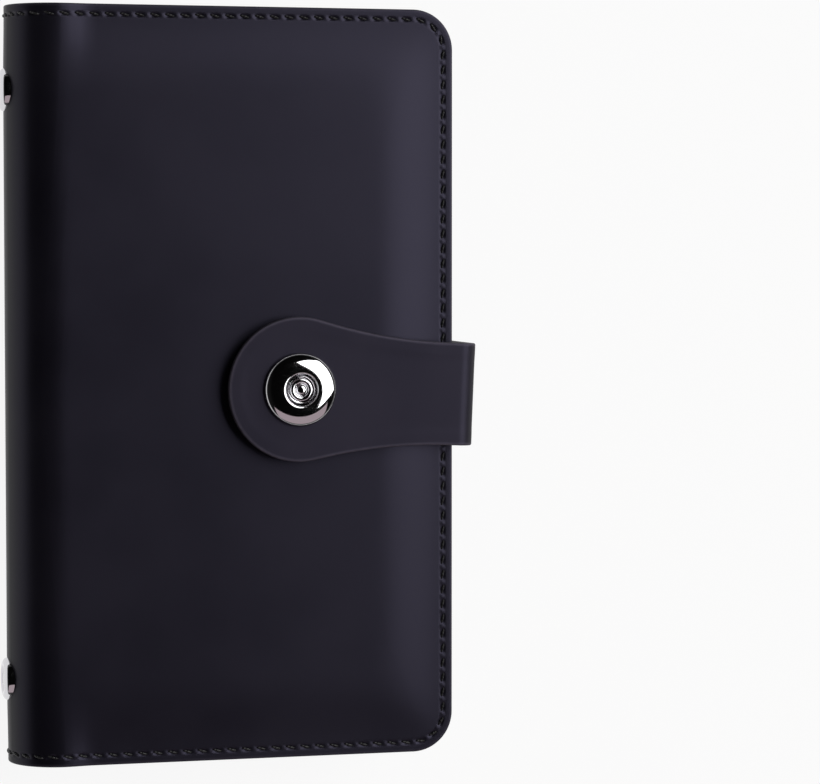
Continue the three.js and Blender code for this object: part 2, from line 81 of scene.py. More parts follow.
STRAP_THICKNESS = 1.8
STRAP_HALF_WIDTH = 12.75
STRAP_SLANT = math.radians(2.4)
STRAP_CENTRE_Y = -2.75
BEND_RADIUS = 4.4
BEND_X = 0.7
TAB_TOP = 31.0
TAB_Z = 29.2
RISER_MIDDLE_Z = 15.5
RISER_HALF = 11.1
ROOT_END_X = -37.3
ROOT_CORNER = 3.0
SNAP_REACH = 40.1
TAB_END_RADIUS = 17.8
TAB_FLARE = 38.0

RIVET_Y = 72.0
RIVET_RADIUS = 5.25


def linear(hex_colour):
    """The linear RGBA of an sRGB hex colour: c / 12.92 below 0.04045, else ((c + 0.055) / 1.055) ** 2.4."""
    parts = [int(hex_colour[i : i + 2], 16) / 255 for i in (1, 3, 5)]
    return [c / 12.92 if c <= 0.04045 else ((c + 0.055) / 1.055) ** 2.4 for c in parts] + [1.0]


def smooth(low, high, x):
    """A soft step, 0 up to low and 1 from high: three t squared less two t cubed, with t even between
    them."""
    t = np.clip((x - low) / (high - low), 0, 1)
    return t * t * (3 - 2 * t)


def rounding(distance, radius):
    """Drop of a quarter-round edge: r - sqrt(r^2 - (r - d)^2) for a distance d below r, and 0 beyond."""
    d = np.clip(distance, 0, radius)
    return radius - np.sqrt(np.maximum(radius**2 - (radius - d) ** 2, 0))


def add(tree, kind, inputs=None, **settings):
    """One node with its settings. An input's value is a constant, or the socket that feeds it."""
    node = tree.nodes.new(kind)
    for key, value in settings.items():
        setattr(node, key, value)
    for key, value in (inputs or {}).items():
        if isinstance(value, bpy.types.NodeSocket):
            tree.links.new(value, node.inputs[key])
        else:
            node.inputs[key].default_value = value
    return node


def new_material(name):
    """A new material with an empty node tree and its output."""
    material = bpy.data.materials.new(name)
    material.use_nodes = True
    material.node_tree.nodes.clear()
    return material, material.node_tree, material.node_tree.nodes.new("ShaderNodeOutputMaterial")


def faux_leather(name, field, margin, sheen, roughness, stitched):
    """Smooth faux leather: a near-black satin skin whose broad, soft highlight breaks up only in very fine
    pores, with a paler turned edge that is partly a painted highlight, a faint cloudiness from handling,
    and small puckers at each stitch."""
    material, tree, output = new_material(name)
    place = add(tree, "ShaderNodeTexCoord").outputs["Object"]
    edge = add(tree, "ShaderNodeAttribute", attribute_name="edge").outputs["Fac"]
    along = add(tree, "ShaderNodeAttribute", attribute_name="along").outputs["Fac"]
    # Clouds of about 30 mm, pores of about 0.3 mm (drawn twice as coarse as real ones, so that they show).
    clouds = add(tree, "ShaderNodeTexNoise", {"Vector": place, "Scale": 33.0, "Detail": 3.0}).outputs[0]
    pores = add(tree, "ShaderNodeTexVoronoi", {"Vector": place, "Scale": 3300.0}).outputs["Distance"]
    edge_noise = add(tree, "ShaderNodeTexNoise", {"Vector": place, "Scale": 420.0, "Detail": 4.0}).outputs[0]
    # The turned edge is painted pale from 0.9 mm outwards, unevenly: partly its own paler cut edge, partly a
    # painted highlight on its rounded bevel.
    rim = add(tree, "ShaderNodeMapRange", {0: edge, 1: 0.9, 2: 0.3, 3: 0.0, 4: 1.0}).outputs[0]
    uneven = add(tree, "ShaderNodeMath", {0: edge_noise, 1: 0.6, 2: 0.5}, operation="MULTIPLY_ADD").outputs[0]
    pale_edge_and_highlight = add(tree, "ShaderNodeMath", {0: rim, 1: uneven}, operation="MULTIPLY").outputs[0]
    dark, pale = linear(field), linear(margin)
    cloudy = add(tree, "ShaderNodeMapRange", {0: clouds, 1: 0.35, 2: 0.65, 3: 0.0, 4: 0.12}).outputs[0]
    tint = add(tree, "ShaderNodeMix", {0: cloudy, 6: dark, 7: pale}, data_type="RGBA").outputs[2]
    colour = add(tree, "ShaderNodeMix", {0: pale_edge_and_highlight, 6: tint, 7: pale}, data_type="RGBA").outputs[2]
    smoother, rougher = roughness - 0.025, roughness + 0.025
    gloss = add(tree, "ShaderNodeMapRange", {0: clouds, 1: 0.3, 2: 0.7, 3: smoother, 4: rougher})
    # The coat mirrors less at a grazing angle than plain plastic does. That is set to keep the curved
    # spine dark.
    facing = add(tree, "ShaderNodeLayerWeight", {"Blend": 0.5}).outputs["Facing"]
    coat = add(tree, "ShaderNodeMapRange", {0: facing, 1: 0.15, 2: 0.6, 3: 0.5, 4: 0.09}).outputs[0]
    relief = add(tree, "ShaderNodeMath", {0: pores, 1: 0.004}, operation="MULTIPLY").outputs[0]
    if stitched:
        # Each needle hole draws the skin down by 0.16 mm, so that it stands up between two stitches.
        per_mm = 2 * math.pi / STITCH_PITCH
        turns = add(tree, "ShaderNodeMath", {0: along, 1: per_mm}, operation="MULTIPLY").outputs[0]
        wave = add(tree, "ShaderNodeMath", {0: turns}, operation="COSINE").outputs[0]
        off = add(tree, "ShaderNodeMath", {0: edge, 1: STITCH_INSET}, operation="SUBTRACT").outputs[0]
        near = add(tree, "ShaderNodeMath", {0: off}, operation="ABSOLUTE").outputs[0]
        reach = {0: near, 1: 0.0, 2: CHANNEL_HALF, 3: -0.16, 4: 0.0}
        band = add(tree, "ShaderNodeMapRange", reach, interpolation_type="SMOOTHSTEP").outputs[0]
        pucker = {0: band, 1: wave, 2: relief}
        relief = add(tree, "ShaderNodeMath", pucker, operation="MULTIPLY_ADD").outputs[0]
    bump = add(tree, "ShaderNodeBump", {"Height": relief, "Strength": 1.0, "Distance": 0.001})
    shader = add(
        tree,
        "ShaderNodeBsdfPrincipled",
        {
            "Base Color": colour,
            "Roughness": gloss.outputs[0],
            "Normal": bump.outputs[0],
            "IOR": 1.5,
            "Specular IOR Level": coat,
            "Specular Tint": linear(sheen),
        },
    )
    tree.links.new(shader.outputs[0], output.inputs[0])
    return material


def matt_lining():
    """Thin matt faux leather: dull and slightly grained, so it shows as plain dark grey without a
    highlight."""
    material, tree, output = new_material("lining_matt_faux_leather")
    place = add(tree, "ShaderNodeTexCoord").outputs["Object"]
    # Grain cells of 0.5 mm.
    cells = add(tree, "ShaderNodeTexVoronoi", {"Vector": place, "Scale": 2000.0}).outputs["Distance"]
    shade = add(tree, "ShaderNodeTexNoise", {"Vector": place, "Scale": 60.0, "Detail": 4.0}).outputs[0]
    colour = add(
        tree, "ShaderNodeMix", {0: shade, 6: linear("#1c1b20"), 7: linear("#28272d")}, data_type="RGBA"
    ).outputs[2]
    bump = add(tree, "ShaderNodeBump", {"Height": cells, "Strength": 0.6, "Distance": 0.00006})
    shader = add(
        tree,
        "ShaderNodeBsdfPrincipled",
        {"Base Color": colour, "Roughness": 0.68, "Normal": bump.outputs[0], "IOR": 1.5},
    )
    tree.links.new(shader.outputs[0], output.inputs[0])
    return material


def sewing_thread():
    """Black bonded polyester thread: three plies twisted at 0.8 mm, which glint a little on their crowns,
    from their relief and from a painted highlight that makes the crowns' colour paler.
    """
    material, tree, output = new_material("thread_black_polyester")
    along = add(tree, "ShaderNodeAttribute", attribute_name="along").outputs["Fac"]
    around = add(tree, "ShaderNodeAttribute", attribute_name="edge").outputs["Fac"]
    twisted = {0: along, 1: 2 * math.pi / THREAD_TWIST, 2: around}
    turns = add(tree, "ShaderNodeMath", twisted, operation="MULTIPLY_ADD").outputs[0]
    ply_relief_and_glint = add(tree, "ShaderNodeMath", {0: turns}, operation="SINE").outputs[0]
    # The colour is paler on the plies' crowns: a painted highlight.
    colour = add(
        tree, "ShaderNodeMix", {0: ply_relief_and_glint, 6: linear("#050507"), 7: linear("#0d0d10")}, data_type="RGBA"
    ).outputs[2]
    bump = add(tree, "ShaderNodeBump", {"Height": ply_relief_and_glint, "Strength": 0.7, "Distance": 0.00005})
    shader = add(
        tree,
        "ShaderNodeBsdfPrincipled",
        {"Base Color": colour, "Roughness": 0.5, "Normal": bump.outputs[0], "IOR": 1.5},
    )
    tree.links.new(shader.outputs[0], output.inputs[0])
    return material


def chrome_plate():
    """Polished chrome plate on brass: a clean mirror with a faint blue-grey tone and hairline wipe marks."""
    material, tree, output = new_material("fittings_polished_chrome")
    place = add(tree, "ShaderNodeTexCoord").outputs["Object"]
    # Wipe marks of about 0.4 mm, stretched along X.
    stretch = {"Vector": place, "Scale": (600.0, 2500.0, 2500.0)}
    stretched = add(tree, "ShaderNodeMapping", stretch).outputs[0]
    marks = add(tree, "ShaderNodeTexNoise", {"Vector": stretched, "Scale": 1.0, "Detail": 3.0}).outputs[0]
    gloss = add(tree, "ShaderNodeMapRange", {0: marks, 1: 0.4, 2: 0.7, 3: 0.05, 4: 0.1}).outputs[0]
    shader = add(
        tree,
        "ShaderNodeBsdfPrincipled",
        {"Base Color": linear("#d9d8db"), "Metallic": 1.0, "Roughness": gloss},
    )
    tree.links.new(shader.outputs[0], output.inputs[0])
    return material


def clear_film():
    """Clear soft PVC film: glossy and see-through on its face, milky and grey where it is welded."""
    material, tree, output = new_material("pocket_film_clear_pvc")
    place = add(tree, "ShaderNodeTexCoord").outputs["Object"]
    edge = add(tree, "ShaderNodeAttribute", attribute_name="edge").outputs["Fac"]
    ripple = add(tree, "ShaderNodeTexNoise", {"Vector": place, "Scale": 45.0, "Detail": 2.0}).outputs[0]
    # The weld is a band of about 2 mm along the rim, with a knurl of 0.6 mm.
    welded = add(tree, "ShaderNodeMapRange", {0: edge, 1: 2.4, 2: 1.6, 3: 0.0, 4: 1.0}).outputs[0]
    knurl = add(tree, "ShaderNodeTexVoronoi", {"Vector": place, "Scale": 1650.0}).outputs["Distance"]
    swell = add(tree, "ShaderNodeMath", {0: ripple, 1: 1.2}, operation="MULTIPLY").outputs[0]
    pressed = {0: welded, 1: knurl, 2: swell}
    height = add(tree, "ShaderNodeMath", pressed, operation="MULTIPLY_ADD").outputs[0]
    bump = add(tree, "ShaderNodeBump", {"Height": height, "Strength": 0.5, "Distance": 0.0003})
    clear = add(tree, "ShaderNodeMapRange", {0: welded, 1: 0.0, 2: 1.0, 3: 0.85, 4: 0.2}).outputs[0]
    colour = add(
        tree, "ShaderNodeMix", {0: welded, 6: linear("#dfe3e6"), 7: linear("#f3f5f6")}, data_type="RGBA"
    ).outputs[2]
    shader = add(
        tree,
        "ShaderNodeBsdfPrincipled",
        {
            "Base Color": colour,
            "Roughness": 0.09,
            "IOR": 1.52,
            "Transmission Weight": clear,
            "Normal": bump.outputs[0],
        },
    )
    tree.links.new(shader.outputs[0], output.inputs[0])
    return material


def plain_solid(name, low, high, roughness, scale, depth):
    """A pressed or moulded solid: two close shades in a fine fleck of 1 / scale metres, with a relief
    of depth."""
    material, tree, output = new_material(name)
    place = add(tree, "ShaderNodeTexCoord").outputs["Object"]
    fleck = add(tree, "ShaderNodeTexNoise", {"Vector": place, "Scale": scale, "Detail": 5.0}).outputs[0]
    shades = {0: fleck, 6: linear(low), 7: linear(high)}
    colour = add(tree, "ShaderNodeMix", shades, data_type="RGBA").outputs[2]
    bump = add(tree, "ShaderNodeBump", {"Height": fleck, "Strength": 0.5, "Distance": depth})
    shader = add(
        tree,
        "ShaderNodeBsdfPrincipled",
        {"Base Color": colour, "Roughness": roughness, "Normal": bump.outputs[0]},
    )
    tree.links.new(shader.outputs[0], output.inputs[0])
    return material


# The second colour paints the turned edge pale, partly as a painted highlight on its bevel; the clouds lean
# a little towards it too.
cover_leather = faux_leather("cover_satin_faux_leather", "#121117", "#302e36", "#b3aed0", 0.36, True)
strap_leather = faux_leather("strap_satin_faux_leather", "#17151c", "#4a4650", "#b3aed0", 0.45, False)
lining_leather = matt_lining()
thread = sewing_thread()
chrome = chrome_plate()
film = clear_film()
# Grey board: pulpy, with flecks of 1 mm. Strip: moulded polypropylene, with a fine spark-eroded texture.
grey_board = plain_solid("board_grey_pulp", "#7d766b", "#989082", 0.9, 1000.0, 0.0001)
black_plastic = plain_solid("strip_black_polypropylene", "#141416", "#1d1d20", 0.5, 3000.0, 0.00003)


WELD_PER_METRE = 1e7  # points within a ten-millionth of a metre are one
SHARP_ANGLE = math.radians(40)


def in_row(points):
    """Album millimetres to metres in the CAD model's frame: the album's X is shifted, then all is
    divided."""
    return (points + np.array([ALBUM_MIDDLE_X, 0.0, 0.0])) * 0.001


def rows_and_columns(count, width, wrap):
    """The quads of a grid of count rows and width columns, which closes on itself if it wraps."""
    index = np.arange(count * width).reshape(count, width)
    if wrap:
        index = np.concatenate([index, index[:, :1]], axis=1)
    return np.stack([index[:-1, :-1], index[:-1, 1:], index[1:, 1:], index[1:, :-1]], axis=-1).reshape(-1, 4)


def solid_object(name, points, quads, edge, along, material, body=None):
    """An object from grid points in album millimetres: points that coincide are welded, which closes
    seams and poles, faces turn outward by the sign of the enclosed volume, and corners sharper than 40
    degrees stay sharp."""
    points = in_row(points.reshape(-1, 3))
    cells = np.round(points * WELD_PER_METRE).astype(np.int64)
    _, first, where = np.unique(cells, axis=0, return_index=True, return_inverse=True)
    where = where.reshape(-1)
    points, edge, along = points[first], edge.reshape(-1)[first], along.reshape(-1)[first]
    quads = where[quads]
    a, b, c, d = (points[quads[:, i]] for i in range(4))
    volume = np.sum(a * np.cross(b, c)) + np.sum(a * np.cross(c, d))
    if volume < 0:
        quads = quads[:, ::-1]
    same = quads == np.roll(quads, -1, axis=1)
    whole = quads[~same.any(axis=1)]
    once = same.sum(axis=1) == 1
    pinched = [np.delete(quads[same[:, i] & once], i, axis=1) for i in range(4)]
    faces = whole.tolist() + np.concatenate(pinched).tolist()
    mesh = bpy.data.meshes.new(name)
    mesh.from_pydata(points.tolist(), [], faces)
    for title, values in (("edge", edge), ("along", along)):
        attribute = mesh.attributes.new(title, "FLOAT", "POINT")
        attribute.data.foreach_set("value", values.astype(np.float32))
    mesh.shade_smooth()
    mesh.set_sharp_from_angle(angle=SHARP_ANGLE)
    mesh.materials.append(material)
    thing = bpy.data.objects.new(name, mesh)
    bpy.context.scene.collection.objects.link(thing)
    if body:
        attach(thing, body)
    return thing


def mirrored(half):
    """The whole of a path from its half at y > 0, which ends at y = 0."""
    return np.concatenate([half, half[-2::-1] * np.array([1.0, -1.0])])


FAN_WIDTH = 30.0  # what counts as the distance from the last ring to the core


def sheet_solid(path, inward, core, insets, spread, outer, inner, place):
    """A flat solid with a U-shaped outline that starts and ends at a cut. Ring i is path + inset_i *
    inward, and the rings beyond the last inset go straight to the core line, f = spread: ring + f *
    (core - ring). A point's depth is outer(s, y, d) on the face and inner(s, y, d) on the back. Rows
    run from the core over the rim back to the core, and the cut is closed with quads from face to back.
    Gives points, quads, distance and length."""
    rings = path + insets[:, None, None] * inward
    fan = rings[-1] + spread[:, None, None] * (core - rings[-1])
    flat = np.concatenate([rings, fan])
    distance = np.concatenate([insets, insets[-1] + FAN_WIDTH * spread])[:, None] * np.ones(len(path))
    s, y = flat[..., 0], flat[..., 1]
    face = place(s, y, outer(s, y, distance))
    back = place(s, y, inner(s, y, distance))
    points = np.concatenate([face[::-1], back])
    count, width = points.shape[:2]
    quads = rows_and_columns(count, width, False)
    index = np.arange(count * width).reshape(count, width)
    half = count // 2
    for column, turn in ((0, 1), (width - 1, -1)):
        line = index[:, column]
        ahead, behind = line[:half], line[::-1][:half]
        wall = np.stack([ahead[:-1], ahead[1:], behind[1:], behind[:-1]], axis=1)
        quads = np.concatenate([quads, wall[:, ::turn]])
    step = np.linalg.norm(np.diff(path + STITCH_INSET * inward, axis=0), axis=1)
    length = np.concatenate([[0.0], np.cumsum(step)])
    along = np.ones((count, 1)) * (length - length[-1] / 2)
    edge = np.concatenate([distance[::-1], distance])
    return points, quads, edge, along


# The covers, unrolled: s along the skin from mid-spine (s < 0 on the curve) to the fore edge, y up the
# album.
CORE_AT_CORNER = 40.0  # how far the core line stays from the fore edge where the corner's rings lead to it
CORE_AT_FORE_EDGE = 36.0  # the same where the fore edge's rings begin
CORE_REACH = 16.0  # how much nearer it comes by mid-edge


def cover_place(front):
    """The function that bends an unrolled cover to its shape, for the front or the back one."""

    def place(s, y, depth):
        """On the curve x = -(R - depth) sin a and z = R - (R - depth) cos a with a = -s / R, and beyond
        it flat."""
        angle = np.maximum(0, -s / SPINE_RADIUS)
        x = np.where(s < 0, -(SPINE_RADIUS - depth) * np.sin(angle), s)
        z = np.where(s < 0, SPINE_RADIUS - (SPINE_RADIUS - depth) * np.cos(angle), depth)
        return np.stack([x, y, FRONT_Z - z if front else BACK_Z + z], axis=-1)

    return place


def cover_path(margin):
    """The outline of a cover, a margin inside its own edge: top edge, round corner, fore edge and back
    again."""
    radius, right, top = CORNER_RADIUS - margin, COVER_WIDTH - margin, HALF_HEIGHT - margin
    s = np.concatenate([np.linspace(MID_SPINE, 0, 29), np.linspace(0, right - radius, 41)[1:]])
    turn = np.linspace(math.pi / 2, 0, 25)[1:]
    y = np.linspace(top - radius, 0, 33)[1:]
    corner = np.stack([right - radius + radius * np.cos(turn), top - radius + radius * np.sin(turn)], axis=1)
    path = np.concatenate([np.stack([s, s * 0 + top], axis=1), corner, np.stack([y * 0 + right, y], axis=1)])
    inward = np.concatenate(
        [
            np.tile([0.0, -1.0], (len(s), 1)),
            -np.stack([np.cos(turn), np.sin(turn)], axis=1),
            np.tile([-1.0, 0.0], (len(y), 1)),
        ]
    )
    straight = (right - CORE_AT_CORNER - MID_SPINE) / (right - radius - MID_SPINE)
    across_corner = np.linspace(0, CORE_AT_CORNER - CORE_AT_FORE_EDGE, len(turn) + 1)[1:]
    middle = np.concatenate(
        [
            MID_SPINE + (s - MID_SPINE) * straight,
            right - CORE_AT_CORNER + across_corner,
            right - CORE_AT_FORE_EDGE + np.linspace(0, CORE_REACH, len(y) + 1)[1:],
        ]
    )
    core = np.stack([middle, middle * 0], axis=1)
    return mirrored(path), mirrored(inward), mirrored(core)


def seam_drop(s, y):
    """The stitched margin lies below the raised field: deepest times one less the soft step up the
    slope, and shallow on the spine. The distance is the soft minimum of those to the fore edge and to
    the nearer end, minus k times the logarithm of the sum of exp(-distance / k)."""
    deepest = SPINE_SEAM_DROP + (SEAM_DROP - SPINE_SEAM_DROP) * smooth(0, 7, s)
    across, up = COVER_WIDTH - s, HALF_HEIGHT - np.abs(y)
    inside = -PAD_BLEND * np.log(np.exp(-across / PAD_BLEND) + np.exp(-up / PAD_BLEND))
    return deepest * (1 - smooth(*PAD_SLOPE, inside))


def sewn_channel(s, d):
    """The row of stitches draws the skin in by its depth times the square of one less the squared
    distance from the row over the channel's half width, and half as deep on the spine."""
    depth = CHANNEL_DEPTH / 2 * (1 + smooth(0, 7, s))
    return depth * np.maximum(0, 1 - ((d - STITCH_INSET) / CHANNEL_HALF) ** 2) ** 2


def leather_face(s, y, d):
    """The margin's drop, the stitches' channel and an edge rounded by 0.4 mm, added up."""
    return seam_drop(s, y) + sewn_channel(s, d) + rounding(d, 0.4)


def leather_back(s, y, d):
    """One leather deep, and under the margin of a flat cover deeper by the board, for the turned-in hem."""
    hem = 1 - smooth(*HEM_SLOPE, d)
    return LEATHER + BOARD * hem * smooth(0, 8, s) - rounding(d, 0.35)


def lining_face(s, y, d):
    """The lining's outer side lies deeper over the board than on the spine, with an edge rounded by 0.2
    mm."""
    return LINING_DEPTH + BOARD_STEP * smooth(0, 6, s) + rounding(d, 0.2)


def lining_back(s, y, d):
    """The same and one lining deeper, with an edge rounded by 0.25 mm."""
    return LINING_DEPTH + BOARD_STEP * smooth(0, 6, s) + LINING - rounding(d, 0.25)


SEAM_INSETS = np.concatenate(
    [
        [0, 0.02, 0.06, 0.12, 0.2, 0.3, 0.4, 0.8, 1.2],
        np.linspace(1.6, 3.4, 10),
        np.linspace(3.8, 9.5, 12),
    ]
)
EVEN_SPREAD = np.linspace(0, 1, 15)[1:] ** 1.6


def cover_skin(name, front, margin, insets, face, back, material):
    """A cover and its half of the spine in one sheet, between the depths face and back."""
    path, inward, core = cover_path(margin)
    parts = sheet_solid(path, inward, core, insets, EVEN_SPREAD, face, back, cover_place(front))
    return solid_object(name, *parts, material)


def stitches(name, path, inward, inset, depth, place, side, material):
    """A row of stitches along path + inset * inward. With u from -1 to 1 along a stitch, its centre
    line runs slanted through its place, is lifted by lift (1 - u^2) and sunk by sink u^2, and its round
    sections have the radius r (1 - u^4)^(1/2)."""
    line = path + inset * inward
    s, y = line[:, 0], line[:, 1]
    step = 0.1
    points = place(s, y, depth(s, y, inset + s * 0))
    under = place(s, y, depth(s, y, inset + s * 0) + side * step)
    normal = (points - under) / step
    length = np.concatenate([[0.0], np.cumsum(np.linalg.norm(np.diff(points, axis=0), axis=1))])

    def sample(values, where):
        """The rows of values at the lengths where, interpolated."""
        return np.stack([np.interp(where, length, values[:, i]) for i in range(3)], axis=1)

    count = 2 * int(length[-1] / 2 / STITCH_PITCH) + 1
    at = length[-1] / 2 + (np.arange(count) - (count - 1) / 2) * STITCH_PITCH
    centre, up = sample(points, at), sample(normal, at)
    ahead = sample(points, at + 0.5) - sample(points, at - 0.5)
    ahead /= np.linalg.norm(ahead, axis=1)[:, None]
    up -= np.sum(up * ahead, axis=1)[:, None] * ahead
    up /= np.linalg.norm(up, axis=1)[:, None]
    across = np.cross(up, ahead)
    way = math.cos(STITCH_SLANT) * ahead + math.sin(STITCH_SLANT) * across
    beside = np.cross(up, way)
    u = np.linspace(-1, 1, 9)
    turn = np.linspace(0, 2 * math.pi, 9)[:-1]
    radius = THREAD_RADIUS * np.sqrt(1 - u**4)
    height = STITCH_LIFT * (1 - u**2) - STITCH_SINK * u**2
    shape = (count, len(u), len(turn), 3)
    spread = np.broadcast_to(centre[:, None, None], shape) + (
        way[:, None, None] * (u * STITCH_LENGTH / 2)[None, :, None, None]
        + up[:, None, None] * (height[:, None] + radius[:, None] * np.sin(turn))[None, :, :, None]
        + beside[:, None, None] * (radius[:, None] * np.cos(turn))[None, :, :, None]
    )
    one = rows_and_columns(len(u), len(turn), True)
    quads = (one[None] + (np.arange(count) * len(u) * len(turn))[:, None, None]).reshape(-1, 4)
    edge = np.broadcast_to(turn, shape[:3])
    along = np.broadcast_to((u * STITCH_LENGTH / 2)[None, :, None], shape[:3])
    return solid_object(name, spread, quads, edge, along, material)


LINING_INSETS = np.array([0, 0.03, 0.08, 0.15, 0.25, 0.6, 1.2, 2.5, 4.0])
for side, front in (("front", True), ("back", False)):
    skin = cover_skin(f"{side}_skin", front, 0, SEAM_INSETS, leather_face, leather_back, cover_leather)
    lining = cover_skin(
        f"{side}_lining_skin", front, LINING_MARGIN, LINING_INSETS, lining_face, lining_back, lining_leather
    )
    bent = cover_place(front)
    path, inward, _ = cover_path(0)
    seam = stitches(f"{side}_seam_stitches", path, inward, STITCH_INSET, leather_face, bent, 1, thread)
    path, inward, _ = cover_path(LINING_MARGIN)
    inset = STITCH_INSET - LINING_MARGIN
    inner_seam = stitches(f"{side}_inner_stitches", path, inward, inset, lining_back, bent, -1, thread)
    for piece in (skin, lining, seam, inner_seam):
        if front:
            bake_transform(piece)
        else:
            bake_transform(piece)
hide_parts("front_cover_leather")
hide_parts("back_cover_leather", "spine_leather")
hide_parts("front_lining")
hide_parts("back_lining", "spine_lining")


# The strap, unrolled: u from the middle of the riser along the outer face, w across it.
def strap_row(x, y, z):
    """Strap millimetres to album millimetres: turned by the strap's slant and set at the fore edge."""
    cos, sin = math.cos(STRAP_SLANT), math.sin(STRAP_SLANT)
    return np.stack([COVER_WIDTH + x * cos + y * sin, STRAP_CENTRE_Y - x * sin + y * cos, z], axis=-1)


def strap_place(side):
    """The function that bends the unrolled strap: its upper half for side 1, its lower half for side -1."""

    def place(u, w, depth):
        """Riser up to u = h, then a quarter turn x = c + (r - depth) cos a, z = level + (r - depth) sin
        a with a = (u - h) / r, and then flat along -X. side is 1 for the upper half and -1 for the
        lower."""
        turned = np.clip((u - RISER_HALF) / BEND_RADIUS, 0, math.pi / 2)
        flat = np.maximum(0, u - RISER_HALF - BEND_RADIUS * math.pi / 2)
        x = BEND_X + (BEND_RADIUS - depth) * np.cos(turned) - flat
        up = np.minimum(u, RISER_HALF) + (BEND_RADIUS - depth) * np.sin(turned)
        return strap_row(x, w, RISER_MIDDLE_Z + side * up)

    return place


BEND_END = RISER_HALF + BEND_RADIUS * math.pi / 2


def edge_lengths(end_u, count):
    """The lengths at which the strap's straight edge has points: the riser, the bend and the flat to
    end_u."""
    riser = np.linspace(0, RISER_HALF, 12)
    bend = np.linspace(RISER_HALF, BEND_END, 19)[1:]
    return np.concatenate([riser, bend, np.linspace(BEND_END, end_u, count)[1:]])


def tab_path():
    """The upper half of the strap: a neck, a hollow flare of radius Rf tangent to both, and the round
    end."""
    neck, end = STRAP_HALF_WIDTH, TAB_END_RADIUS
    hollow = (TAB_FLARE**2 / (end - neck) - (end + neck)) / 2
    end_u = BEND_END + BEND_X + SNAP_REACH
    start_u = end_u - TAB_FLARE
    u = edge_lengths(start_u, 5)
    last = math.atan2(TAB_FLARE, neck + hollow)
    turn = np.linspace(0, last, 41)[1:]
    flare_out = np.stack([np.sin(turn), -np.cos(turn)], axis=1)
    flare = np.array([start_u, neck + hollow]) + hollow * flare_out
    sweep = np.linspace(math.pi / 2 + last, 0, 61)[1:]
    round_out = np.stack([np.cos(sweep), np.sin(sweep)], axis=1)
    round_end = np.array([end_u, 0.0]) + end * round_out
    path = np.concatenate([np.stack([u, u * 0 + neck], axis=1), flare, round_end])
    inward = np.concatenate([np.tile([0.0, -1.0], (len(u), 1)), flare_out, -round_out])
    core_end = end_u + 5
    middle = np.concatenate([u, flare[:, 0], np.linspace(flare[-1, 0], core_end, len(sweep) + 1)[1:]])
    path[-1, 1] = 0.0
    return mirrored(path), mirrored(inward), mirrored(np.stack([middle, middle * 0], axis=1))


def root_path():
    """The lower half of the strap: straight, with a square end whose corners are rounded by 3 mm."""
    neck, corner = STRAP_HALF_WIDTH, ROOT_CORNER
    end_u = BEND_END + BEND_X - ROOT_END_X
    u = edge_lengths(end_u - corner, 16)
    turn = np.linspace(math.pi / 2, 0, 13)[1:]
    out = np.stack([np.cos(turn), np.sin(turn)], axis=1)
    bend = np.array([end_u - corner, neck - corner]) + corner * out
    w = np.linspace(neck - corner, 0, 9)[1:]
    path = np.concatenate([np.stack([u, u * 0 + neck], axis=1), bend, np.stack([w * 0 + end_u, w], axis=1)])
    inward = np.concatenate([np.tile([0.0, -1.0], (len(u), 1)), -out, np.tile([-1.0, 0.0], (len(w), 1))])
    core_corner, core_end = end_u - 8, 3
    last = core_corner + np.linspace(0, core_end, len(turn) + len(w) + 1)[1:]
    middle = np.concatenate([u * core_corner / (end_u - corner), last])
    return mirrored(path), mirrored(inward), mirrored(np.stack([middle, middle * 0], axis=1))


STRAP_INSETS = np.array([0, 0.02, 0.07, 0.15, 0.25, 0.35, 0.45, 0.7, 1.2, 1.8, 2.1, 2.5, 2.9])
ROOT_STITCH_INSET = 2.5
ROOT_THREAD_DEPTH = 0.42  # of the root's stitches, in their channel
STRAP_ROUND = 0.45
STRAP_HOLLOW = 0.05


def strap_face(u, w, d):
    """The pressed edge is rounded by 0.45 mm and the face sinks 0.05 mm towards the middle."""
    return rounding(d, STRAP_ROUND) + STRAP_HOLLOW * smooth(1, 9, d)


def root_face(u, w, d):
    """The same, with a channel 0.35 mm deep for the thread that sews the root to the back cover."""
    channel = 0.35 * np.maximum(0, 1 - ((d - ROOT_STITCH_INSET) / 0.7) ** 2) ** 2
    return strap_face(u, w, d) + channel * smooth(BEND_END - 1, BEND_END + 2, u)


def strap_back(u, w, d):
    """One strap thickness deep, with the same rounded edge."""
    return STRAP_THICKNESS - rounding(d, STRAP_ROUND)


strap_upper = solid_object(
    "strap_upper",
    *sheet_solid(*tab_path(), STRAP_INSETS, EVEN_SPREAD, strap_face, strap_back, strap_place(1)),
    strap_leather,
)
root_outline = root_path()
strap_lower = solid_object(
    "strap_lower",
    *sheet_solid(*root_outline, STRAP_INSETS, EVEN_SPREAD, root_face, strap_back, strap_place(-1)),
    strap_leather,
)


def root_thread(u, w, d):
    """The same depth all along."""
    return ROOT_THREAD_DEPTH + u * 0


flat_root = root_outline[0][:, 0] > BEND_END + 3
root_stitches = stitches(
    "strap_root_stitches",
    root_outline[0][flat_root],
    root_outline[1][flat_root],
    ROOT_STITCH_INSET,
    root_thread,
    strap_place(-1),
    1,
    thread,
)
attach(root_stitches, "back")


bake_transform(strap_lower)
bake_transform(strap_upper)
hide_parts("strap_root", "strap_riser")
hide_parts("strap_tab")


def resample(profile, rounds):
    """A profile of (radius, height) corners, with each corner in rounds replaced by a Bezier arc of its
    size."""
    found = []
    for i, (point, size) in enumerate(zip(profile, rounds)):
        point = np.array(point, float)
        if size == 0 or i in (0, len(profile) - 1):
            found.append(point[None])
            continue
        before, after = np.array(profile[i - 1], float) - point, np.array(profile[i + 1], float) - point
        before *= min(size / np.linalg.norm(before), 0.48)
        after *= min(size / np.linalg.norm(after), 0.48)
        t = np.linspace(0, 1, 9)[:, None]
        found.append((1 - t) ** 2 * (point + before) + 2 * t * (1 - t) * point + t**2 * (point + after))
    return np.concatenate(found)


AXIS_SEGMENTS = 96


